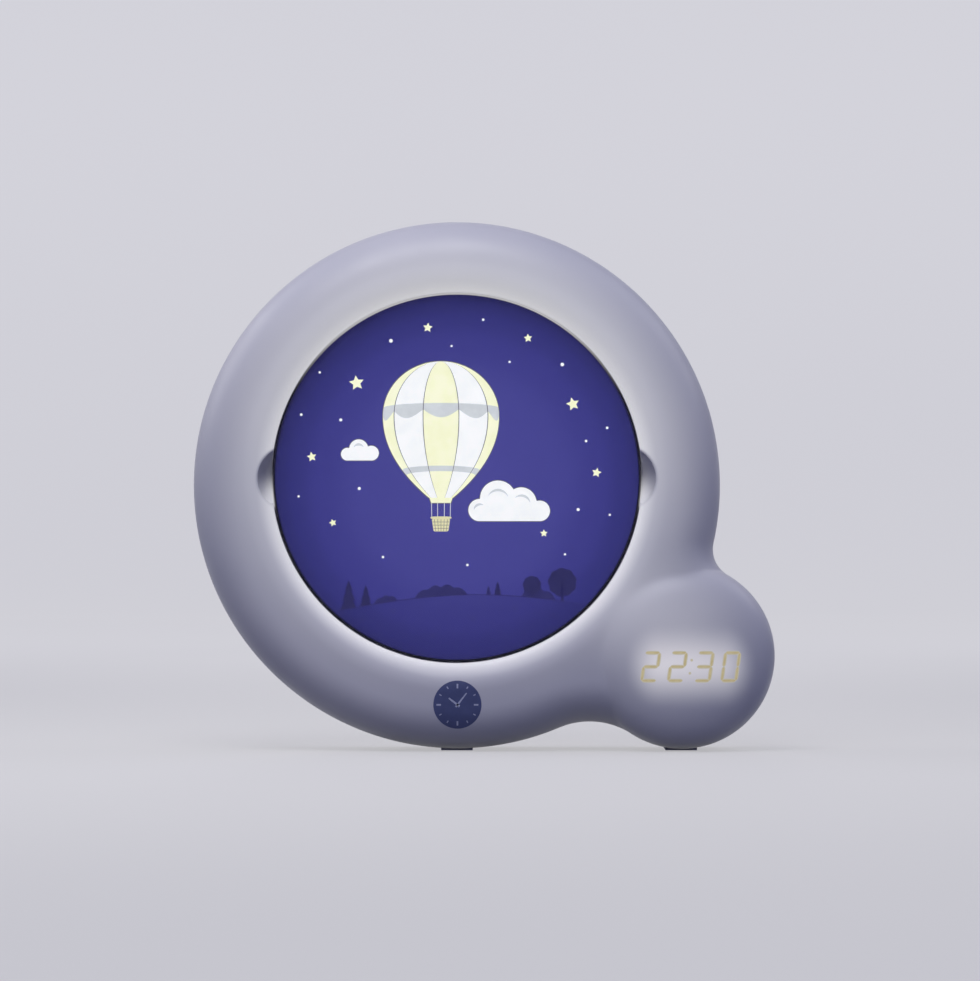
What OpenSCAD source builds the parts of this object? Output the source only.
// Kids' alarm clock with night light: a ring-shaped case round a lit picture
// disc, with a domed pod at the lower right that holds the time display.
//
// Everything is drawn lying on its back, x to the right, y up the face and z
// towards the viewer, with the middle of the ring at the origin. stand()
// then raises it: +Z up, front towards -Y, resting on Z = 0.

/* [Ring] */
// Radius of the ring-shaped case
ring_r = 100; // [84:1:125]
// Width of the rounding from the side of the case to its front crest
edge_w = 16; // [10:0.5:18]
// Height of that rounding
edge_h = 17; // [12:0.5:20]

/* [Pod] */
// Radius of the display pod
pod_r = 35.3; // [30:0.1:43]
// How far the middle of the pod lies outside the edge of the ring
pod_out = 7.1; // [2:0.1:12]
// How far the pod stands in front of the crest of the ring
pod_rise = 4.5; // [2:0.1:7]
// Height of the pod's rounded dome
pod_dome_h = 21; // [17:0.5:26]
// Fullness of the dome: 2 is an ellipse, and larger values have a flatter top
dome_power = 2.8; // [2.6:0.1:4]
// Radius of the hollow where the top of the pod meets the ring
upper_blend_r = 11.4; // [8:0.1:15]
// Radius of the hollow where the bottom of the pod meets the ring
lower_blend_r = 29.6; // [22:0.1:36]

/* [Depth] */
// Depth of the clock from the back to the top of the pod
depth = 54; // [52:0.5:66]
// Depth of the rear housing, from the back to the seam
rear_depth = 22; // [21:0.5:27]
// Rounding round the back
back_round = 8; // [5:0.5:10]

/* [Shell] */
// Wall thickness of the housings
wall = 2.2; // [1.8:0.1:2.8]
// Thickness of the tongue inside the seam
tongue_t = 1; // [0.8:0.05:1.2]
// Height of the tongue inside the seam
tongue_h = 1.8; // [1.2:0.1:2.4]
// Clearance where two housings or covers fit together
fit_gap = 0.15; // [0.1:0.05:0.25]
// Clearance round each piece that moves
move_gap = 0.3; // [0.25:0.05:0.4]
// Chamfer along both edges of the seam, which shows as a fine line round the case
seam_chamfer = 0.3; // [0.1:0.05:0.5]
// Thickness of the stiffening ribs inside the rear housing
rib_t = 1.4; // [1:0.1:1.8]
// Height of those ribs above the inside of the back
rib_h = 5; // [3:0.5:7]

/* [Picture disc] */
// Radius of the picture disc
picture_r = 69.5; // [57:0.5:71]
// How far the picture sits above the middle of the ring
picture_up = 2.8; // [0:0.1:4]
// Gap round the picture disc
picture_gap = 0.6; // [0.4:0.05:0.8]
// Depth of the picture below the crest of the ring
picture_recess = 9.5; // [7:0.5:12]
// Thickness of the clear lens
lens_t = 2; // [1.5:0.1:2.5]
// Height of the picture disc from its front to the back of its ring
picture_h = 7.7; // [6.5:0.1:9]
// Thickness of the printed film
film_t = 0.4; // [0.3:0.05:0.6]
// How far the film stays inside the edge of the lens
film_margin = 0.3; // [0.2:0.1:1]
// Width of the rounded slope from the crest down to the picture
mouth_w = 10.6; // [8:0.2:12]
// Radius of the scoops for the fingers at the sides of the picture
scoop_r = 12; // [10:0.5:14]
// How far each scoop reaches beyond the edge of the picture
scoop_reach = 5.7; // [4.8:0.1:7]

/* [Night light] */
// Width of the ledge that the diffuser rests against
ledge_w = 8.5; // [7:0.5:10]
// Thickness of the ledge
ledge_t = 1.6; // [1.2:0.1:2]
// Thickness of the opal diffuser
diffuser_t = 1.6; // [1.2:0.1:2.5]
// Clearance between the light board's stakes and the battery bay
light_gap = 0.2; // [0.2:0.1:1]
// Wall of the reflector tray
tray_wall = 1.4; // [1:0.1:1.8]
// Radius of the tray's flat floor
tray_floor_r = 42; // [36:1:46]
// Radius of the round LED board
light_board_r = 36; // [33:1:40]
// Radius of the circle of LEDs
led_ring_r = 25; // [18:1:28]
// Number of LEDs on that circle
led_count = 8; // [4:1:12]
// Side of one LED
led_side = 3.5; // [2.8:0.1:4]
// Clearance round each LED in the floor of the tray
led_gap = 0.5; // [0.3:0.1:0.8]

/* [Boards and display] */
// Thickness of the circuit boards
board_t = 1.6; // [1:0.1:2]
// Width of the time display module
display_w = 40.2; // [36:0.1:44]
// Height of the time display module
display_h = 12.8; // [11:0.1:15]
// Thickness of the time display module
display_t = 7; // [5:0.1:8]
// Height of the digits
digit_h = 10.2; // [8.5:0.1:11]
// Distance from one digit to the next
digit_pitch = 10; // [8.5:0.1:11]
// Thickness of the shell in front of the display
window_t = 1.2; // [0.8:0.1:1.5]
// Depth of the face of the display below the top of the pod
display_sink = 5.2; // [5:0.1:7]

/* [Battery bay] */
// Diameter of one AA cell
cell_d = 14.5; // [12:0.1:17.4]
// Length of one AA cell
cell_l = 50.5; // [42:0.1:60.6]
// Number of cells side by side
cell_count = 3; // [2:1:3]
// Wall thickness of the battery bay
bay_wall = 2; // [1.6:0.1:2.4]
// Thickness of the battery door
door_t = 1.6; // [1.4:0.1:2]
// Height of the middle of the bay above the middle of the ring
bay_up = 6; // [2:1:10]

/* [Controls] */
// Radius of the push buttons
button_r = 4; // [3.2:0.1:4.8]
// Distance from one push button to the next
button_pitch = 14; // [13:0.5:15]
// How far a push button travels
button_travel = 0.8; // [0.4:0.1:1]
// How far a slide switch travels to each side
slide_travel = 2; // [1.5:0.1:2.4]
// Depth of the recess round the controls
panel_recess = 1.2; // [0.8:0.1:1.5]
// Height of the controls above the middle of the ring (negative is below)
panel_up = -57; // [-60:1:-54]

/* [Speaker] */
// Radius of the loudspeaker
speaker_r = 20; // [16.5:0.5:20]
// Depth of the loudspeaker
speaker_h = 15; // [12:0.5:15.5]

/* [Feet] */
// How far the rubber feet stand out below the case
foot_proud = 0.8; // [0.6:0.1:1.2]
// Width of each foot
foot_w = 12; // [10:0.5:17]

/* [Fasteners] */
// Shank radius of the screws
screw_r = 1.25; // [1:0.05:1.5]
// Head radius of the screws
screw_head_r = 2.8; // [2.4:0.1:3]
// Height of the screw heads
screw_head_h = 2; // [1.6:0.1:2.4]

/* [Hidden] */

// Smoothness of large and small round shapes
FINE = 128;
SMALL = 40;
// Overshoot of a cut past the face that it opens
CUT = 1;
// Overlap of a boss or rib with the wall that it grows from
ROOT = 0.6;
// Steps in each rounded profile
STEPS = 10;
// Bite of each hollow blend into the ring and the pod, so they cross cleanly
BITE = 0.15;
// Part of the quarter turn that shapes the mouth, so that it leaves the crest at a slight slope
MOUTH_SWEEP = 86;

// Heights along z, from the back to the front
z_back = -depth / 2;
z_seam = z_back + rear_depth;
z_apex = depth / 2;
z_crest = z_apex - pod_rise;
z_edge = z_crest - edge_h;
z_dome = z_apex - pod_dome_h;
z_lens = z_crest - picture_recess;
z_ring_back = z_lens - picture_h;
z_ledge = z_ring_back - move_gap;
z_diffuser = z_ledge - ledge_t;
z_tray = z_diffuser - diffuser_t;
z_film = z_lens - lens_t - film_t;
z_inner_back = z_back + wall;
z_door_seat = z_back + door_t + move_gap;
cell_gap = 0.3;
z_cell = z_door_seat + cell_gap + cell_d / 2;
z_bay_floor = z_cell + cell_d / 2 + cell_gap;
bay_floor_t = 1.2;
z_bay_front = z_bay_floor + bay_floor_t;
stake_tip = 0.6;
z_tray_back = z_bay_front + light_gap + stake_tip + board_t;

// Places on the face
pod_y = -(ring_r - pod_r);
pod_x = sqrt((ring_r + pod_out) * (ring_r + pod_out) - pod_y * pod_y);
pod_distance = ring_r + pod_out;
well_r = picture_r + picture_gap;
mouth_r = well_r + mouth_w;
ledge_r = picture_r - ledge_w;
lens_round = 0.8;
film_ring_w = 3;
film_ring_web = 1.2;
ring_lead = 0.8;
scoop_x = picture_r + scoop_reach - scoop_r;
z_scoop = z_diffuser + wall + scoop_r + 0.1;

// Bosses for the screws that hold the two housings together
boss_r = 3.5;
well_wall = 1.2;
ring_boss_r = ring_r - edge_w;
ring_boss_angles = [20, 90, 160, 215, 270];
pod_boss_inset = 11.3;
pod_boss_r = pod_r - pod_boss_inset;
pod_boss_angles = [80, 280];
boss_places = concat(
    [for (a = ring_boss_angles) ring_boss_r * [cos(a), sin(a)]],
    [for (a = pod_boss_angles) [pod_x, pod_y] + pod_boss_r * [cos(a), sin(a)]]
);
screw_below_seam = 8;
screw_bite = 9;
screw_seat = z_seam - screw_below_seam;
screw_tip = z_seam + screw_bite;
screw_end_gap = 1;
screw_pilot_gap = 0.05;
screw_hole_gap = 0.45;
screw_head_gap = 0.5;
pilot_r = screw_r + screw_pilot_gap;
screw_hole_r = screw_r + screw_hole_gap;
counterbore_r = screw_head_r + screw_head_gap;

// Small screws that hold the boards and the light box
small_screw_r = 0.9;
small_head_r = 1.9;
small_head_h = 1.2;
small_pilot_r = small_screw_r + screw_pilot_gap;
small_hole_r = small_screw_r + 0.3;
tray_screw_l = 6;
display_screw_l = 4.6;
board_screw_l = 6;
post_r = 2.5;

// Cross recess in a screw's head, as shares of the head's radius and height
CROSS_LENGTH = 1.2;
CROSS_WIDTH = 0.3;
CROSS_DEPTH = 0.5;

// Light box, the ears that hold it, and the stakes that hold its board
ear_angles = [45, 135, 225, 315];
ear_boss_r = 3;
ear_gap = 0.2;
ear_r = well_r + wall + ear_boss_r + ear_gap;
diffuser_inset = 3.5;
diffuser_r = well_r - diffuser_inset;
tray_rim_r = well_r;
tray_rim_w = 4;
tray_lip_w = 6;
tray_lip_drop = 0.6;
led_t = 1.4;
led_hole_r = led_side * sqrt(2) / 2 + led_gap;
stake_angles = [60, 180, 300];
stake_inset = 4;
stake_at = light_board_r - stake_inset;
stake_r = 0.9;
stake_gap = 0.1;

// Display
display_right = 2.8;
display_down = 3.6;
display_x = pod_x + display_right;
display_y = pod_y - display_down;
z_display = z_apex - display_sink;
display_board_w = display_w + 8;
display_board_h = display_h + 17;
display_board_corner = 5;
z_display_board = z_display - display_t;
display_post_x = display_w / 2;
display_post_y = display_h / 2 + 4.8;
window_gap = 1;
window_dip = 2;
segment_w = 1.2;
segment_t = 0.25;
segment_gap = 0.4;
digit_share = 0.56;
digit_slant = 9;
colon_rise = digit_h / 5;
display_post_places = [for (sx = [-1, 1], sy = [-1, 1])
    [display_x + sx * display_post_x, display_y + sy * display_post_y]];

// Battery bay
cell_spacing = 0.7;
cell_side_gap = 0.85;
cell_pitch = cell_d + cell_spacing;
cell_xs = [for (i = [0:cell_count - 1]) (i - (cell_count - 1) / 2) * cell_pitch];
cell_tip_l = 1.5;
cell_tip_r = cell_d * 0.19;
bay_x = cell_pitch * (cell_count - 1) / 2 + cell_d / 2 + cell_side_gap;
contact_room = 3;
bay_y = cell_l / 2 + contact_room;
door_ear_w = 12;
door_ear_h = 8.4;
door_ear_corner_r = 4;
door_ear_frame = 2;
door_insert_h = 7;
door_insert_r = screw_r + 0.95;
door_insert_depth = 5.5;
door_corner_r = 2;
door_screw_up = 3.6;
door_screw_y = bay_up + bay_y + bay_wall + door_screw_up;
door_screw_l = 5.4;
door_screw_sink = 0.7;
door_tab_x = bay_x * 0.6;
door_tab_w = 8;
door_tab_t = 1.4;
door_tab_reach = 1.6;
door_tab_gap = 2.8;
door_tab_swing = 1.6;
door_edge_r = door_t / 2;
door_foot_y = -bay_y - bay_wall + move_gap + door_edge_r;

// Controls
panel_left = -47;
panel_right = 62;
panel_h = 20;
panel_corner_r = 5;
z_panel = z_back + panel_recess;
z_panel_inner = z_panel + wall;
z_control = z_panel_inner + 8.2;
panel_frame = 2;
control_board_h = 18;
control_board_shift = 1;
switch_h = 3.5;
switch_side = 6;
switch_bore = 1.6;
button_proud = 1;
button_flange_r = button_r + 1;
button_flange_t = 1;
button_dish = 0.35;
button_dish_r = button_r - 0.9;
button_rim_round = 0.4;
stem_r = 1.6;
stem_dip = 0.3;
button_xs = [for (i = [-1.5:1:1.5]) i * button_pitch];
slide_xs = [-38, 38];
knob_w = 5;
knob_h = 3.4;
knob_flange_h = 5.6;
knob_flange_t = 0.8;
knob_flange_lap = 1;
knob_proud = 0.8;
knob_groove = 0.5;
knob_stem = 1.6;
knob_stem_dip = 0.8;
slide_body = [10, 5, 4];
slide_slot = 1.4;
socket_x = 54;
socket_w = 8.9;
socket_h = 3.2;
socket_corner_r = 1.5;
socket_wall = 0.35;
socket_sink = 0.4;
socket_floor = 1.5;
socket_tongue = [6.6, 0.7];
socket_tongue_sink = 0.6;
control_screw_y = 6.2;
control_screws = [
    [slide_xs[0] - 7, -control_screw_y], [slide_xs[0] + 9, control_screw_y],
    [slide_xs[1] - 9, control_screw_y], [slide_xs[1] + 8, -control_screw_y]
];

// Speaker
speaker_gap = 3;
speaker_x = bay_x + bay_wall + speaker_r + speaker_gap;
speaker_y = 10;
speaker_rib_t = 1.4;
speaker_rib_h = 4;
speaker_tab = 6.1;
speaker_tab_w = 8;
basket_rim_w = 2.5;
basket_rim_t = 1;
basket_t = 1.2;
basket_neck_r = speaker_r * 0.55;
basket_hole_r = speaker_r * 0.25;
magnet_r = speaker_r * 0.5;
magnet_t = 4;
cone_t = 0.7;
cone_gap = 0.1;
cone_h = 4.6;
cap_r = speaker_r * 0.35;
cap_h = 3;
cone_surround_w = 2.5;
grille_r = speaker_r - 4;
slot_w = 2;
slot_pitch = 4.4;
slot_rows = 3;

// Coils of the battery springs
COIL_TURNS = 3;
COIL_RINGS = 16;
COIL_SIDES = 6;
wire_r = 0.35;
contact_gap = 0.05;
plate_w = cell_d * 0.54;
plate_t = 0.5;
contact_h = contact_room - plate_t - contact_gap;
coil_foot_r = cell_d * 0.26;
coil_tip_r = cell_d * 0.15;
boss_foot_r = cell_d * 0.24;
boss_shoulder_r = cell_d * 0.2;
boss_tip_r = cell_d * 0.16;
boss_shoulder_h = 1;

// Main board
main_board_w = 36;
main_board_h = 58;
main_board_gap = 3;
main_board_x = -(bay_x + bay_wall + main_board_w / 2 + main_board_gap);
main_board_y = 4;
z_main = z_back + 12.6;
board_post_inset = 3;
main_board_posts = [for (sx = [-1, 1], sy = [-1, 1])
    [main_board_x + sx * (main_board_w / 2 - board_post_inset),
     main_board_y + sy * (main_board_h / 2 - board_post_inset)]];
// Place, width, height and thickness of each chip and coil on the main board
chips = [
    [[0, 0], 12, 12, 1.4], [[-9, -14], 8, 5, 1.6], [[12, 4], 4, 5, 3.6],
    [[-12, 6], 4, 8, 2.4], [[8, -8], 6, 4, 1.6]
];
capacitor_xs = [-8, 8];
capacitor_y = 18;
capacitor_r = 3.2;
capacitor_h = 4.6;

// Stiffening ribs inside the back
rib_reach = 20;
rib_x = cell_d;
rib_low = bay_up - bay_y - bay_wall - panel_up - panel_h / 2;

// Leads between the boards, and the plugs at their ends
LEAD_SIDES = 8;
lead_r = 0.7;
speaker_lead_r = 0.8;
control_lead_r = 1.1;
display_lead_r = 1.2;
lead_cell_x = 15.2;
connector_w = 4.4;
connector_h = 4.2;
display_connector_w = 7;
display_connector_h = 3;
main_connectors = [[-46, -18, 11], [-55.5, -18, 6], [-46, 29.3, 8]];
control_connectors = [[-44, -50.7, 6], [50, -54, 10]];
battery_plus_route = [
    [-15.2, 34.3, -17.5], [-15.2, 38, -17.5], [-17.5, 41.5, -17], [-24, 43.5, -15.5],
    [-34, 43, -13], [-41.5, 40, -11.4], [-44.3, 35.5, -10.8], [-44.5, 31.6, -10.7]
];
battery_minus_route = [
    [15.2, -22.3, -17.5], [15.2, -26, -17.5], [12, -29.5, -17.5], [2, -31, -17],
    [-14, -31, -15.5], [-28, -30.5, -13], [-38, -28.5, -11.2], [-42, -24.5, -10.7],
    [-42.4, -20.3, -10.7]
];
speaker_route = [
    [-49.5, -20.3, -10.7], [-49.5, -25, -10.8], [-48.5, -31, -13], [-43, -36, -16], [-30, -38, -18],
    [0, -38.5, -18.4], [28, -37, -18], [41, -30, -17], [47, -18, -15], [48.3, -9, -14.4],
    [48.3, -6.6, -14.4]
];
control_route = [
    [-55.5, -20.3, -10.7], [-55.5, -26, -10.8], [-53.5, -34, -11], [-48.5, -40, -11.3],
    [-44.6, -44.5, -11.6], [-44, -46.8, -11.7], [-44, -48.4, -11.7]
];
display_route = [
    [55.1, -54, -11.7], [60, -54, -11.5], [65.5, -56, -8], [69.5, -60, -1], [74, -64.5, 4],
    [76.5, -66.6, 7], [77, -67, 8.6], [77, -67, 10.1]
];
light_route = [
    [-32.2, 8, -11], [-30.6, 7.6, -11], [-29.6, 5, -11], [-29.6, 2, -10.8], [-29.6, 0.3, -10],
    [-29.6, 0, -9], [-29.6, 0, -8.1]
];

// Feet
foot_recess = 1.2;
front_foot = [z_seam + 2, z_edge - 1];
rear_foot = [z_back + back_round + 1, z_seam - tongue_h - 1.5];

// Where the middle of the ring stands in the raised clock
ring_x = -(pod_x + pod_r - ring_r) / 2;
ring_z = ring_r + foot_proud;

module stand() {
    translate([ring_x, 0, ring_z]) rotate([90, 0, 0]) children();
}

module at_pod() {
    translate([pod_x, pod_y, 0]) children();
}

module at_picture() {
    translate([0, picture_up, 0]) children();
}

module at_bay() {
    translate([0, bay_up, 0]) children();
}

// A cylinder that runs from one height to another
module rod(r, z0, z1, fn = SMALL) {
    translate([0, 0, z0]) cylinder(r = r, h = z1 - z0, $fn = fn);
}

// A box given by its width, height and two z values, centred in x and y
module slab(w, h, z0, z1) {
    translate([-w / 2, -h / 2, z0]) cube([w, h, z1 - z0]);
}

// A flat shape with round corners, made of exact arcs
module rounded(w, h, r) {
    square([w - 2 * r, h], center = true);
    square([w, h - 2 * r], center = true);
    for (sx = [-1, 1], sy = [-1, 1])
        translate([sx * (w / 2 - r), sy * (h / 2 - r)]) circle(r = r, $fn = SMALL);
}

module rounded_slab(w, h, r, z0, z1) {
    translate([0, 0, z0]) linear_extrude(z1 - z0) rounded(w, h, r);
}

// Middle of a hollow blend of radius r that touches the ring and the pod
function blend_along(r) =
    (pow(ring_r + r - BITE, 2) - pow(pod_r + r - BITE, 2) + pow(pod_distance, 2))
        / (2 * pod_distance);
function blend_across(r) =
    sqrt(pow(ring_r + r - BITE, 2) - pow(blend_along(r), 2));
function blend_place(r, side) =
    let (ux = pod_x / pod_distance, uy = pod_y / pod_distance)
    [ux * blend_along(r) - uy * side * blend_across(r),
     uy * blend_along(r) + ux * side * blend_across(r)];

// Quarter of an ellipse: how far the edge has come in, and how far it has risen
function edge(w, h) =
    [for (i = [0:STEPS]) [w * (1 - cos(90 * i / STEPS)), h * sin(90 * i / STEPS)]];

// A disc from z0 up to z1 whose top edge is rounded w in and h down
module rounded_disc(r, z0, z1, w, h) {
    rotate_extrude($fn = FINE)
        polygon(concat(
            [[0, z0], [r - seam_chamfer, z0], [r, z0 + seam_chamfer]],
            [for (e = edge(w, h)) [r - e[0], z1 - h + e[1]]],
            [[0, z1]]
        ));
}

// What is cut away round a hollow blend so that its edge is rounded as well
module blend_cut(r, z0, z1, w, h) {
    rotate_extrude($fn = FINE)
        polygon(concat(
            [[0, z0 - CUT], [r + seam_chamfer, z0 - CUT], [r + seam_chamfer, z0],
             [r, z0 + seam_chamfer]],
            [for (e = edge(w, h)) [r + e[0], z1 - h + e[1]]],
            [[r + w, z1 + CUT], [0, z1 + CUT]]
        ));
}

// The web between the ring and the pod
module bridge(inset, z0, z1, w, h) {
    difference() {
        translate([0, 0, z0]) linear_extrude(z1 - z0)
            polygon([[0, 0], blend_place(upper_blend_r, 1), [pod_x, pod_y],
                     blend_place(lower_blend_r, -1)]);
        translate(blend_place(upper_blend_r, 1))
            blend_cut(upper_blend_r + inset, z0, z1, w, h);
        translate(blend_place(lower_blend_r, -1))
            blend_cut(lower_blend_r + inset, z0, z1, w, h);
    }
}

// The pod's dome, a superellipse turned about the pod's axis
module dome(inset, z0) {
    r = pod_r - inset;
    h = pod_dome_h - inset;
    rotate_extrude($fn = FINE)
        polygon(concat(
            [[0, z0], [r - seam_chamfer, z0], [r, z0 + seam_chamfer]],
            [for (i = [0:STEPS])
                let (a = 90 * i / STEPS)
                [r * pow(cos(a), 2 / dome_power), z_dome + h * pow(sin(a), 2 / dome_power)]]
        ));
}

// The outer form of the front, from z0 up, drawn in by inset all round
module front_form(inset, z0) {
    w = edge_w - inset;
    h = edge_h - inset;
    rounded_disc(ring_r - inset, z0, z_crest - inset, w, h);
    bridge(inset, z0, z_crest - inset, w, h);
    at_pod() dome(inset, z0);
}

// The outer form of the back, from z1 down, drawn in by inset all round
module rear_form(inset, z1) {
    w = back_round - inset;
    mirror([0, 0, 1]) {
        rounded_disc(ring_r - inset, -z1, -z_back - inset, w, w);
        bridge(inset, -z1, -z_back - inset, w, w);
        at_pod() rounded_disc(pod_r - inset, -z1, -z_back - inset, w, w);
    }
}

// The plain outline of the case, drawn in by inset
module outline(inset) {
    circle(r = ring_r - inset, $fn = FINE);
    translate([pod_x, pod_y]) circle(r = pod_r - inset, $fn = FINE);
    difference() {
        polygon([[0, 0], blend_place(upper_blend_r, 1), [pod_x, pod_y],
                 blend_place(lower_blend_r, -1)]);
        translate(blend_place(upper_blend_r, 1)) circle(r = upper_blend_r + inset, $fn = FINE);
        translate(blend_place(lower_blend_r, -1)) circle(r = lower_blend_r + inset, $fn = FINE);
    }
}

// The flared mouth that leads down to the picture, grown by more all round
module mouth(more, z0) {
    w = mouth_w - more;
    h = z_crest - z_lens - more;
    above = z_crest + 3 * CUT;
    rotate_extrude($fn = FINE)
        polygon(concat(
            [[0, z0], [well_r + more, z0]],
            [for (i = [0:STEPS - 1])
                let (a = MOUTH_SWEEP * i / (STEPS - 1))
                [mouth_r - w * cos(a), z_lens + h * sin(a)]],
            [[mouth_r + CUT, z_lens + h + CUT / 4], [mouth_r + CUT, above], [0, above]]
        ));
}

// A scoop for a finger, grown by more all round
module scoops(more) {
    for (side = [-1, 1]) translate([side * scoop_x, 0, 0]) {
        rod(scoop_r + more, z_scoop, z_crest + 3 * CUT, FINE);
        translate([0, 0, z_scoop]) sphere(r = scoop_r + more, $fn = FINE);
    }
}

module front_housing() {
    color("lavender") stand() {
        difference() {
            front_form(0, z_seam);
            difference() {
                front_form(wall, z_seam - CUT);
                at_picture() {
                    mouth(wall, z_diffuser);
                    scoops(wall);
                }
                front_bosses();
            }
            at_picture() {
                mouth(0, z_ledge);
                scoops(0);
                rod(ledge_r, z_seam - CUT, z_ledge + CUT, FINE);
            }
            front_boss_holes();
            at_pod() display_pocket();
            front_foot_recesses();
        }
        seam_tongue();
    }
}

// Solid columns left standing in the hollow of the front housing
module front_bosses() {
    for (p = boss_places) translate(p) rod(boss_r, z_seam - CUT, z_apex);
    at_picture() for (a = ear_angles) rotate(a)
        translate([ear_r, 0, 0]) rod(ear_boss_r, z_tray, z_crest);
    for (p = display_post_places) translate(p) rod(post_r, z_display_board, z_apex);
}

module front_boss_holes() {
    for (p = boss_places) translate(p) rod(pilot_r, z_seam - CUT, screw_tip + screw_end_gap);
    at_picture() for (a = ear_angles) rotate(a) translate([ear_r, 0, 0])
        rod(small_pilot_r, z_tray - CUT, z_tray - tray_wall + tray_screw_l + screw_end_gap);
    for (p = display_post_places) translate(p)
        rod(small_pilot_r, z_display_board - CUT,
            z_display_board - board_t + display_screw_l + screw_end_gap);
}

// Thinner shell in front of the display, so that the digits shine through
module display_pocket() {
    intersection() {
        dome(window_t, z_display - window_dip);
        translate([display_right, -display_down, 0])
            slab(display_w + 2 * window_gap, display_h + 2 * window_gap,
                 z_display - window_dip - CUT, z_apex);
    }
}

module seam_tongue() {
    translate([0, 0, z_seam - tongue_h]) linear_extrude(tongue_h + ROOT) difference() {
        outline(wall - tongue_t);
        outline(wall);
    }
}

module foot_block(grow, span, extra) {
    for (x = [0, pod_x])
        translate([x - foot_w / 2 - grow, -ring_r - foot_proud - extra, span[0] - grow])
            cube([foot_w + 2 * grow, foot_proud + foot_recess + extra, span[1] - span[0] + 2 * grow]);
}

module front_foot_recesses() {
    foot_block(0, front_foot, CUT);
}

module rear_housing() {
    color("lavender") stand() difference() {
        union() {
            difference() {
                rear_form(0, z_seam);
                rear_form(wall, z_seam + CUT);
            }
            bay_block();
            panel_backing();
            rear_bosses();
            speaker_ribs();
            stiffening_ribs();
        }
        translate([0, 0, z_seam - tongue_h - fit_gap]) linear_extrude(tongue_h + fit_gap + CUT)
            difference() {
                outline(wall - tongue_t - fit_gap);
                outline(wall + CUT);
            }
        bay_cut();
        panel_cut();
        speaker_slots();
        for (p = boss_places) translate(p) {
            rod(screw_hole_r, z_back - CUT, z_seam + CUT);
            rod(counterbore_r, z_back - CUT, screw_seat);
        }
        for (p = main_board_posts) translate(p) board_pilot(z_main);
        for (p = control_screws) translate([p[0], panel_up + p[1], 0]) board_pilot(z_control);
        foot_block(0, rear_foot, CUT);
    }
}

// Blind hole for a board's screw, in a post whose top is at z
module board_pilot(z) {
    rod(small_pilot_r, z + board_t - board_screw_l - screw_end_gap, z + CUT);
}

module rear_bosses() {
    for (p = boss_places) translate(p) rod(counterbore_r + well_wall, z_back + ROOT, z_seam);
    for (p = main_board_posts) translate(p) rod(post_r, z_back + ROOT, z_main);
    for (p = control_screws) translate([p[0], panel_up + p[1], 0])
        rod(post_r, z_panel + ROOT, z_control);
}

// Ribs on the inside of the back, from the battery bay out towards the wall
module stiffening_ribs() {
    top = z_inner_back + rib_h;
    bay_left = bay_x + bay_wall;
    for (side = [-1, 1]) {
        translate([side * (bay_left + rib_reach / 2 - ROOT), bay_up + bay_y, 0])
            slab(rib_reach + 2 * ROOT, rib_t, z_back + ROOT, top);
        translate([side * rib_x, bay_up + bay_y + bay_wall + rib_reach / 2 - ROOT, 0])
            slab(rib_t, rib_reach + 2 * ROOT, z_back + ROOT, top);
    }
    for (side = [-1, 1])
        translate([side * rib_x, panel_up + panel_h / 2 + rib_low / 2, 0])
            slab(rib_t, rib_low + 2 * ROOT, z_back + ROOT, top);
}

module bay_block() {
    at_bay() {
        slab(2 * (bay_x + bay_wall), 2 * (bay_y + bay_wall), z_back + ROOT, z_bay_front);
        translate([0, bay_y + bay_wall, 0])
            slab(door_ear_w + 2 * door_ear_frame, 2 * (door_ear_h + door_ear_frame),
                 z_back + ROOT, z_door_seat + door_insert_h);
    }
}

// Round corners at the top, square ones at the hinged lower edge, and an ear for the screw
module door_outline(grow) {
    half_w = bay_x + bay_wall + grow;
    half_h = bay_y + bay_wall + grow;
    rounded(2 * half_w, 2 * half_h, door_corner_r + grow);
    translate([0, -half_h / 2]) square([2 * half_w, half_h], center = true);
    translate([0, bay_y + bay_wall])
        rounded(door_ear_w + 2 * grow, 2 * (door_ear_h + grow), door_ear_corner_r + grow);
}

module bay_cut() {
    at_bay() {
        slab(2 * bay_x, 2 * bay_y, z_back - CUT, z_bay_floor);
        translate([0, 0, z_back - CUT]) linear_extrude(door_t + move_gap + CUT) door_outline(0);
        for (side = [-1, 1])
            translate([side * door_tab_x, -bay_y - bay_wall - door_tab_reach, 0])
                slab(door_tab_w + 2 * move_gap, 2 * (bay_wall + door_tab_reach) + CUT,
                     z_back + wall, z_back + door_tab_gap + door_tab_t + door_tab_swing);
    }
    translate([0, door_screw_y, 0]) rod(door_insert_r, z_back, z_door_seat + door_insert_depth);
    for (end = [-1, 1])
        translate([-end * lead_cell_x, bay_up + end * (bay_y + bay_wall / 2), z_cell])
            rotate([90, 0, 0]) rod(lead_r + move_gap, -bay_wall, bay_wall);
}

// Thicker wall behind the recess of the controls
module panel_backing() {
    translate([(panel_left + panel_right) / 2, panel_up, 0])
        rounded_slab(panel_right - panel_left + 2 * panel_frame, panel_h + 2 * panel_frame,
                     panel_corner_r, z_back + ROOT, z_panel_inner);
}

module panel_cut() {
    translate([(panel_left + panel_right) / 2, panel_up, 0])
        rounded_slab(panel_right - panel_left, panel_h, panel_corner_r, z_back - CUT, z_panel);
    translate([0, panel_up, 0]) {
        for (x = button_xs) translate([x, 0, 0])
            rod(button_r + move_gap, z_panel - CUT, z_panel_inner + CUT);
        for (x = slide_xs) translate([x, 0, 0])
            slab(knob_w + 2 * (slide_travel + move_gap), knob_h + 2 * move_gap,
                 z_panel - CUT, z_panel_inner + CUT);
        translate([socket_x, 0, 0])
            rounded_slab(socket_w + 2 * fit_gap, socket_h + 2 * fit_gap, socket_corner_r + fit_gap,
                         z_panel - CUT, z_panel_inner + CUT);
    }
}

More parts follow.
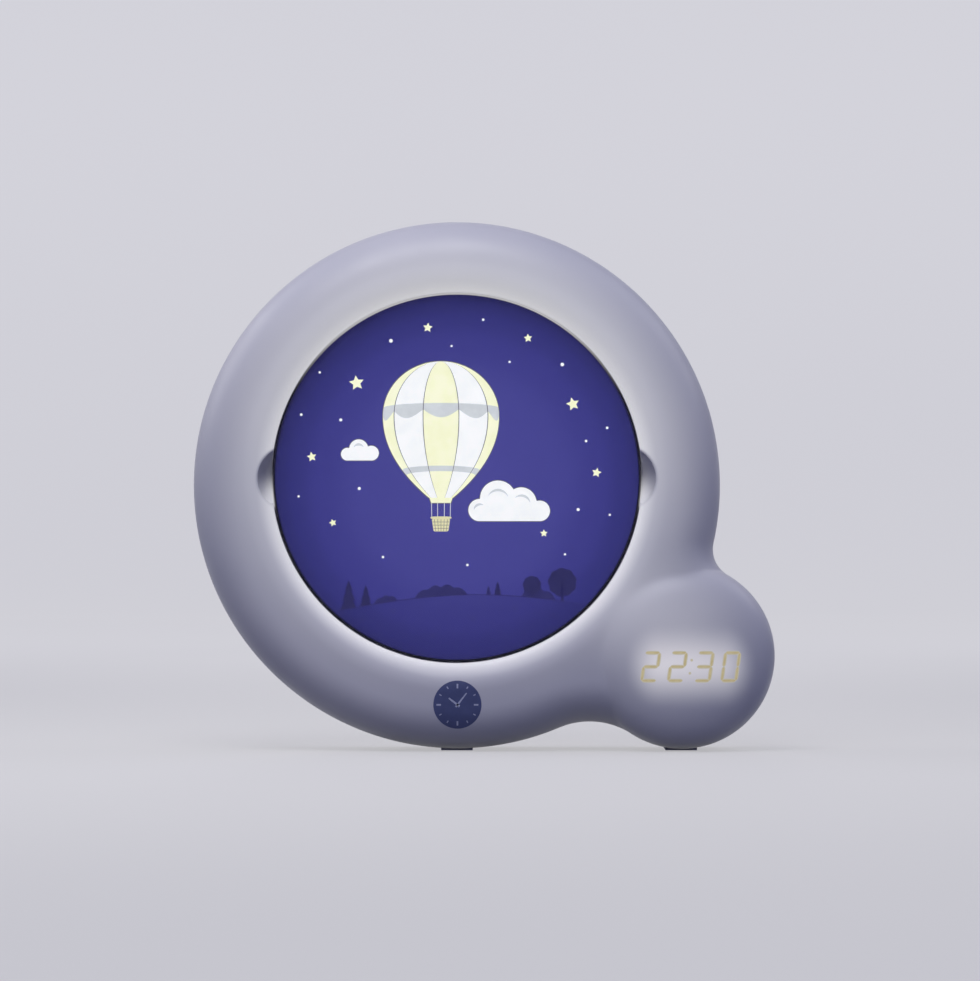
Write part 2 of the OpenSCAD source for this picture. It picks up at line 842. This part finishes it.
module speaker_ribs() {
    translate([speaker_x, speaker_y, 0]) difference() {
        rod(speaker_r + fit_gap + speaker_rib_t, z_back + ROOT, z_inner_back + speaker_rib_h, FINE);
        rod(speaker_r + fit_gap, z_inner_back, z_inner_back + speaker_rib_h + CUT, FINE);
    }
}

module speaker_slots() {
    translate([speaker_x, speaker_y, z_back - CUT]) linear_extrude(wall + 2 * CUT)
        for (i = [-slot_rows:slot_rows])
            let (half = sqrt(grille_r * grille_r - pow(i * slot_pitch, 2)) - slot_w / 2)
            translate([0, i * slot_pitch]) {
                square([2 * half, slot_w], center = true);
                for (s = [-1, 1]) translate([s * half, 0]) circle(r = slot_w / 2, $fn = SMALL);
            }
}

module foot_pads() {
    color("dimgray") stand() {
        foot_block(0, front_foot, 0);
        foot_block(0, rear_foot, 0);
    }
}

// A pan-head screw whose head rests on z and whose shank runs up from there
module screw(z, l, r, head_r, head_h) {
    difference() {
        union() {
            rod(r, z - ROOT, z + l);
            rod(head_r, z - head_h, z);
        }
        for (a = [0, 90]) rotate(a)
            slab(head_r * CROSS_LENGTH, head_r * CROSS_WIDTH, z - head_h - CUT, z - head_h * CROSS_DEPTH);
    }
}

module small_screw(z, l) {
    screw(z, l, small_screw_r, small_head_r, small_head_h);
}

module housing_screws() {
    color("silver") stand()
        for (p = boss_places) translate(p)
            screw(screw_seat, screw_tip - screw_seat, screw_r, screw_head_r, screw_head_h);
}

module picture_lens() {
    color("lightskyblue", 0.4) stand() at_picture() rotate_extrude($fn = FINE)
        polygon(concat(
            [[0, z_lens - lens_t], [picture_r, z_lens - lens_t]],
            [for (e = edge(lens_round, lens_round)) [picture_r - e[0], z_lens - lens_round + e[1]]],
            [[0, z_lens]]
        ));
}

module picture_film() {
    color("darkslateblue") stand() at_picture()
        rod(picture_r - film_margin, z_film, z_lens - lens_t, FINE);
}

// A rabbeted ring behind the film, with a lead-in chamfer where it enters the well
module film_ring() {
    color("white") stand() at_picture() rotate_extrude($fn = FINE)
        polygon([[ledge_r + move_gap, z_film], [picture_r, z_film], [picture_r, z_ring_back + ring_lead],
                 [picture_r - ring_lead, z_ring_back], [picture_r - film_ring_w, z_ring_back],
                 [picture_r - film_ring_w, z_film - film_ring_web],
                 [ledge_r + move_gap, z_film - film_ring_web]]);
}

module diffuser_panel() {
    color("white") stand() at_picture() rod(diffuser_r, z_tray, z_diffuser, FINE);
}

module light_box() {
    color("whitesmoke") stand() at_picture() difference() {
        union() {
            rotate_extrude($fn = FINE)
                polygon([[0, z_tray_back], [tray_floor_r, z_tray_back],
                         [diffuser_r - tray_rim_w, z_tray - tray_wall - tray_lip_drop],
                         [tray_rim_r, z_tray - tray_wall], [tray_rim_r, z_tray],
                         [diffuser_r - tray_lip_w, z_tray],
                         [tray_floor_r - tray_wall / 2, z_tray_back + tray_wall],
                         [0, z_tray_back + tray_wall]]);
            for (a = ear_angles) rotate(a) {
                translate([ear_r, 0, 0]) rod(ear_boss_r, z_tray - tray_wall, z_tray);
                translate([(ear_r + tray_rim_r - ROOT) / 2, 0, 0])
                    slab(ear_r - tray_rim_r + ROOT, 2 * ear_boss_r, z_tray - tray_wall, z_tray);
            }
            for (a = stake_angles) rotate(a) translate([stake_at, 0, 0])
                rod(stake_r, z_tray_back - board_t - stake_tip, z_tray_back + ROOT);
        }
        for (a = ear_angles) rotate(a) translate([ear_r, 0, 0])
            rod(small_hole_r, z_tray - tray_wall - CUT, z_tray + CUT);
        at_leds() rod(led_hole_r, z_tray_back - CUT, z_tray_back + tray_wall + CUT);
    }
}

// One place in the middle of the light board and one for each LED of the circle
module at_leds() {
    children();
    for (i = [0:led_count - 1]) rotate(i * 360 / led_count) translate([led_ring_r, 0, 0]) children();
}

module light_board() {
    color("seagreen") stand() at_picture() difference() {
        rod(light_board_r, z_tray_back - board_t, z_tray_back, FINE);
        for (a = stake_angles) rotate(a) translate([stake_at, 0, 0])
            rod(stake_r + stake_gap, z_tray_back - board_t - CUT, z_tray_back + CUT);
    }
}

module light_leds() {
    color("lemonchiffon") stand() at_picture() at_leds()
        slab(led_side, led_side, z_tray_back, z_tray_back + led_t);
}

module light_box_screws() {
    color("silver") stand() at_picture() for (a = ear_angles) rotate(a) translate([ear_r, 0, 0])
        small_screw(z_tray - tray_wall, tray_screw_l);
}

module display_board() {
    color("seagreen") stand() difference() {
        translate([display_x, display_y, 0])
            rounded_slab(display_board_w, display_board_h, display_board_corner,
                         z_display_board - board_t, z_display_board);
        for (p = display_post_places) translate(p)
            rod(small_hole_r, z_display_board - board_t - CUT, z_display_board + CUT);
    }
}

module display_module() {
    color("dimgray") stand() translate([display_x, display_y, 0])
        slab(display_w, display_h, z_display_board, z_display);
}

// Seven bars, named a to g from the top clockwise and then the middle
function bars(digit) =
    digit == 0 ? [1, 1, 1, 1, 1, 1, 0] :
    digit == 2 ? [1, 1, 0, 1, 1, 0, 1] :
    digit == 3 ? [1, 1, 1, 1, 0, 0, 1] : [0, 0, 0, 0, 0, 0, 0];

module bar(l) {
    polygon([[-l / 2, 0], [-l / 2 + segment_w / 2, segment_w / 2],
             [l / 2 - segment_w / 2, segment_w / 2], [l / 2, 0],
             [l / 2 - segment_w / 2, -segment_w / 2], [-l / 2 + segment_w / 2, -segment_w / 2]]);
}

module digit(value) {
    h = digit_h - segment_w;
    w = h * digit_share;
    lit = bars(value);
    lean = tan(digit_slant);
    flat = [[0, h / 2], [w / 2, h / 4], [w / 2, -h / 4], [0, -h / 2], [-w / 2, -h / 4],
            [-w / 2, h / 4], [0, 0]];
    for (i = [0:6]) if (lit[i] == 1) {
        upright = i != 0 && i != 3 && i != 6;
        translate([flat[i][0] + flat[i][1] * lean, flat[i][1]])
            rotate(upright ? 90 - digit_slant : 0) bar((upright ? h / 2 : w) - segment_gap);
    }
}

module display_segments() {
    shown = [2, 2, 3, 0];
    color("gold") stand() translate([display_x, display_y, z_display]) linear_extrude(segment_t) {
        for (i = [0:3]) translate([(i - 1.5) * digit_pitch, 0]) digit(shown[i]);
        for (s = [-1, 1])
            translate([s * colon_rise * tan(digit_slant), s * colon_rise])
                circle(r = segment_w / 2, $fn = SMALL);
    }
}

module display_screws() {
    color("silver") stand() for (p = display_post_places) translate(p)
        small_screw(z_display_board - board_t, display_screw_l);
}

module main_board() {
    color("seagreen") stand() difference() {
        translate([main_board_x, main_board_y, 0])
            slab(main_board_w, main_board_h, z_main, z_main + board_t);
        for (p = main_board_posts) translate(p) rod(small_hole_r, z_main - CUT, z_main + board_t + CUT);
    }
}

module main_board_parts() {
    z = z_main + board_t;
    color("dimgray") stand() translate([main_board_x, main_board_y, 0]) {
        for (c = chips) translate(c[0]) slab(c[1], c[2], z, z + c[3]);
        for (x = capacitor_xs) translate([x, capacitor_y, 0]) rod(capacitor_r, z, z + capacitor_h);
    }
}

module board_screws() {
    color("silver") stand() {
        for (p = main_board_posts) translate(p) mirror([0, 0, 1])
            small_screw(-z_main - board_t, board_screw_l);
        for (p = control_screws) translate([p[0], panel_up + p[1], 0]) mirror([0, 0, 1])
            small_screw(-z_control - board_t, board_screw_l);
    }
}

module control_board() {
    color("seagreen") stand() difference() {
        translate([(panel_left + panel_right) / 2 - control_board_shift, panel_up, 0])
            slab(panel_right - panel_left, control_board_h, z_control, z_control + board_t);
        for (p = control_screws) translate([p[0], panel_up + p[1], 0])
            rod(small_hole_r, z_control - CUT, z_control + board_t + CUT);
    }
}

module button_switches() {
    color("dimgray") stand() translate([0, panel_up, 0]) for (x = button_xs) translate([x, 0, 0])
        difference() {
            slab(switch_side, switch_side, z_control - switch_h, z_control);
            rod(stem_r + move_gap, z_control - switch_h - CUT, z_control - switch_h + switch_bore);
        }
}

module slide_switches() {
    color("silver") stand() translate([0, panel_up, 0]) for (x = slide_xs) translate([x, 0, 0])
        difference() {
            slab(slide_body[0], slide_body[1], z_control - slide_body[2], z_control);
            slab(knob_stem + 2 * (slide_travel + move_gap), knob_stem + 2 * move_gap,
                 z_control - slide_body[2] - CUT, z_control - slide_body[2] + slide_slot);
        }
}

module power_socket() {
    z_mouth = z_panel + socket_sink;
    color("silver") stand() translate([socket_x, panel_up, 0]) {
        difference() {
            rounded_slab(socket_w, socket_h, socket_corner_r, z_mouth, z_control);
            rounded_slab(socket_w - 2 * socket_wall, socket_h - 2 * socket_wall,
                         socket_corner_r - socket_wall, z_mouth - CUT, z_control - socket_floor);
        }
        slab(socket_tongue[0], socket_tongue[1],
             z_mouth + socket_tongue_sink, z_control - socket_floor + ROOT);
    }
}

module push_button(i) {
    z_top = z_panel - button_proud;
    z_flange = z_panel_inner + move_gap;
    stand() translate([button_xs[i], panel_up, 0]) {
        rotate_extrude($fn = SMALL)
            polygon(concat(
                [for (i = [0:STEPS / 2])
                    let (t = 2 * i / STEPS) [button_dish_r * t, z_top + button_dish * (1 - t * t)]],
                [[button_r - button_rim_round, z_top], [button_r, z_top + button_rim_round],
                 [button_r, z_flange], [button_flange_r, z_flange],
                 [button_flange_r, z_flange + button_flange_t], [0, z_flange + button_flange_t]]));
        rod(stem_r, z_flange, z_control - switch_h + stem_dip);
    }
}

module hour_button() {
    color("slateblue") push_button(0);
}

module minute_button() {
    color("slateblue") push_button(1);
}

module time_button() {
    color("slateblue") push_button(2);
}

module alarm_button() {
    color("slateblue") push_button(3);
}

module slide_knob(x) {
    z_top = z_panel - knob_proud;
    z_flange = z_panel_inner + move_gap;
    stand() translate([x, panel_up, 0]) {
        difference() {
            slab(knob_w, knob_h, z_top, z_flange + ROOT);
            for (i = [-1:1]) translate([i * knob_w / 4, 0, 0])
                slab(knob_groove, knob_h + CUT, z_top - CUT, z_top + knob_groove);
        }
        slab(knob_w + 2 * slide_travel + knob_flange_lap, knob_flange_h,
             z_flange, z_flange + knob_flange_t);
        slab(knob_stem, knob_stem, z_flange, z_control - slide_body[2] + knob_stem_dip);
    }
}

module alarm_switch_knob() {
    color("slateblue") slide_knob(slide_xs[0]);
}

module light_switch_knob() {
    color("slateblue") slide_knob(slide_xs[1]);
}

module speaker_frame() {
    z_rim = z_inner_back + basket_rim_t;
    z_plate = z_inner_back + speaker_h - magnet_t - basket_t;
    color("dimgray") stand() translate([speaker_x, speaker_y, 0]) {
        rotate_extrude($fn = FINE)
            polygon([[speaker_r - basket_rim_w, z_inner_back], [speaker_r, z_inner_back],
                     [speaker_r, z_rim], [speaker_r - basket_rim_w + ROOT, z_rim],
                     [basket_neck_r, z_plate], [basket_neck_r, z_plate + basket_t],
                     [basket_hole_r, z_plate + basket_t], [basket_hole_r, z_plate],
                     [basket_neck_r - basket_t, z_plate], [speaker_r - basket_rim_w, z_rim]]);
        translate([0, -(basket_neck_r + speaker_tab / 2 - ROOT), 0])
            slab(speaker_tab_w, speaker_tab, z_plate, z_plate + basket_t);
    }
}

// A shallow cone with a dust cap in its middle and a rolled surround
module speaker_cone() {
    r = speaker_r - basket_rim_w - cone_gap;
    z = z_inner_back;
    color("black") stand() translate([speaker_x, speaker_y, 0]) rotate_extrude($fn = FINE)
        polygon([[0, z + cap_h], [cap_r, z + cone_h], [r - cone_surround_w, z + cone_t],
                 [r, z + cone_gap], [r, z + cone_gap + cone_t], [r - cone_surround_w, z + 2 * cone_t],
                 [cap_r, z + cone_h + cone_t], [0, z + cap_h + cone_t]]);
}

module speaker_magnet() {
    z = z_inner_back + speaker_h - magnet_t;
    color("silver") stand() translate([speaker_x, speaker_y, 0]) rod(magnet_r, z, z + magnet_t, FINE);
}

function unit(v) = v / norm(v);

// A round tube swept along a route, whose rings lean on the direction across
module sweep(route, r, sides, across) {
    last = len(route) - 1;
    ahead = [for (i = [0:last]) unit(route[min(i + 1, last)] - route[max(i - 1, 0)])];
    rings = [for (i = [0:last])
        let (u = unit(cross(ahead[i], across)), v = cross(ahead[i], u))
        for (k = [0:sides - 1])
            let (a = 360 * k / sides)
            route[i] + r * (cos(a) * u + sin(a) * v)];
    polyhedron(points = rings, faces = concat(
        [[for (k = [0:sides - 1]) k]],
        [for (i = [0:last - 1], k = [0:sides - 1])
            let (n = (k + 1) % sides)
            [i * sides + n, i * sides + k, (i + 1) * sides + k, (i + 1) * sides + n]],
        [[for (k = [0:sides - 1]) last * sides + sides - 1 - k]]));
}

// Point at t between the second and the third of four points of a smooth route
function between(a, b, c, d, t) =
    0.5 * (2 * b + (c - a) * t + (2 * a - 5 * b + 4 * c - d) * t * t
           + (3 * b - a - 3 * c + d) * t * t * t);

// A route with one more point halfway along each stretch, on a smooth curve through all of them
function smooth(p) =
    let (n = len(p) - 1)
    concat([for (i = [0:n - 1], t = [0, 0.5])
        between(p[max(i - 1, 0)], p[i], p[i + 1], p[min(i + 2, n)], t)], [p[n]]);

module lead(route, r, across) {
    sweep(smooth(route), r, LEAD_SIDES, across);
}

module battery_leads() {
    color("crimson") stand() lead(battery_plus_route, lead_r, [0, 0, 1]);
    color("black") stand() lead(battery_minus_route, lead_r, [0, 0, 1]);
}

module speaker_lead() {
    color("gray") stand() lead(speaker_route, speaker_lead_r, [0, 0, 1]);
}

module control_lead() {
    color("gray") stand() lead(control_route, control_lead_r, [0, 0, 1]);
}

module display_lead() {
    color("gray") stand() lead(display_route, display_lead_r, [1, 1, 0]);
}

module light_lead() {
    color("gray") stand() lead(light_route, lead_r, [1, 0, 0]);
}

// White plugs and sockets where the leads meet the boards
module board_connectors() {
    z = z_main + board_t;
    display_end = display_route[len(display_route) - 1];
    color("ivory") stand() {
        for (c = main_connectors) translate([c[0], c[1], 0]) slab(c[2], connector_w, z, z + connector_h);
        for (c = control_connectors) translate([c[0], c[1], 0])
            slab(c[2], connector_w, z_control + board_t, z_control + board_t + connector_h);
        translate([display_end[0], display_end[1], 0])
            slab(display_connector_w, connector_w, z_display_board - board_t - display_connector_h,
                 z_display_board - board_t);
    }
}

module battery_cells() {
    color("gold") stand() at_bay() for (i = [0:cell_count - 1])
        translate([cell_xs[i], 0, z_cell]) rotate([i % 2 == 0 ? 90 : -90, 0, 0]) {
            rod(cell_d / 2, -cell_l / 2, cell_l / 2 - cell_tip_l + ROOT);
            rod(cell_tip_r, cell_l / 2 - cell_tip_l, cell_l / 2);
        }
}

// A conical coil of round wire that narrows from its foot at z = 0 up to the cell
module coil(foot_r, tip_r, h) {
    rings = COIL_TURNS * COIL_RINGS;
    sweep([for (i = [0:rings])
        let (t = i / rings, a = 360 * COIL_TURNS * t, r = foot_r + (tip_r - foot_r) * t)
        [r * cos(a), r * sin(a), wire_r / 2 + (h - wire_r * 3 / 2) * t]], wire_r, COIL_SIDES, [0, 0, 1]);
}

// Each cell rests its flat end on a coil, and its button on a pressed boss
module battery_springs() {
    color("silver") stand() at_bay() for (i = [0:cell_count - 1], end = [-1, 1])
        translate([cell_xs[i], end * (bay_y - plate_t), z_cell]) rotate([end * 90, 0, 0]) {
            translate([0, 0, -plate_t / 2]) cube([plate_w, plate_w, plate_t], center = true);
            if ((i % 2 == 0 ? -1 : 1) == end)
                coil(coil_foot_r, coil_tip_r, contact_h);
            else
                rotate_extrude($fn = SMALL)
                    polygon([[0, -plate_t / 2], [boss_foot_r, -plate_t / 2], [boss_foot_r, 0],
                             [boss_shoulder_r, boss_shoulder_h], [boss_tip_r, contact_h], [0, contact_h]]);
        }
}

// A hooked tab that holds the lower edge of the door under the back of the case
module door_tab() {
    near = -bay_y + move_gap;
    far = near + door_tab_t;
    tip = -bay_y - bay_wall - door_tab_reach;
    low = z_back + door_tab_gap;
    high = low + door_tab_t;
    translate([-door_tab_w / 2, 0, 0]) rotate([90, 0, 90]) linear_extrude(door_tab_w)
        polygon([[near, z_back + ROOT], [far, z_back + ROOT], [far, low], [near, high],
                 [tip, high], [tip, low], [near, low]]);
}

module battery_door() {
    hinge_l = 2 * (bay_x + bay_wall - move_gap);
    color("lavender") stand() at_bay() difference() {
        union() {
            difference() {
                translate([0, 0, z_back]) linear_extrude(door_t) door_outline(-move_gap);
                translate([0, door_foot_y - bay_wall, 0])
                    slab(2 * (bay_x + bay_wall + CUT), 2 * bay_wall, z_back - CUT, z_back + door_t + CUT);
            }
            translate([-hinge_l / 2, door_foot_y, z_back + door_edge_r]) rotate([0, 90, 0])
                cylinder(r = door_edge_r, h = hinge_l, $fn = SMALL);
            for (side = [-1, 1]) translate([side * door_tab_x, 0, 0]) door_tab();
        }
        translate([0, door_screw_y - bay_up, 0]) {
            rod(screw_r + move_gap, z_back - CUT, z_back + door_t + CUT);
            rod(screw_head_r + 0.2, z_back - CUT, z_back + door_t - door_screw_sink);
        }
    }
}

module door_screw() {
    color("silver") stand() translate([0, door_screw_y, 0])
        screw(z_back + door_t - door_screw_sink, door_screw_l, screw_r, screw_head_r, door_t - 0.8);
}

front_housing();
rear_housing();
foot_pads();
housing_screws();
picture_lens();
picture_film();
film_ring();
diffuser_panel();
light_box();
light_board();
light_leds();
light_box_screws();
display_board();
display_module();
display_segments();
display_screws();
main_board();
main_board_parts();
board_screws();
control_board();
button_switches();
slide_switches();
power_socket();
hour_button();
minute_button();
time_button();
alarm_button();
alarm_switch_knob();
light_switch_knob();
speaker_frame();
speaker_cone();
speaker_magnet();
battery_cells();
battery_springs();
battery_door();
door_screw();
board_connectors();
battery_leads();
speaker_lead();
control_lead();
display_lead();
light_lead();
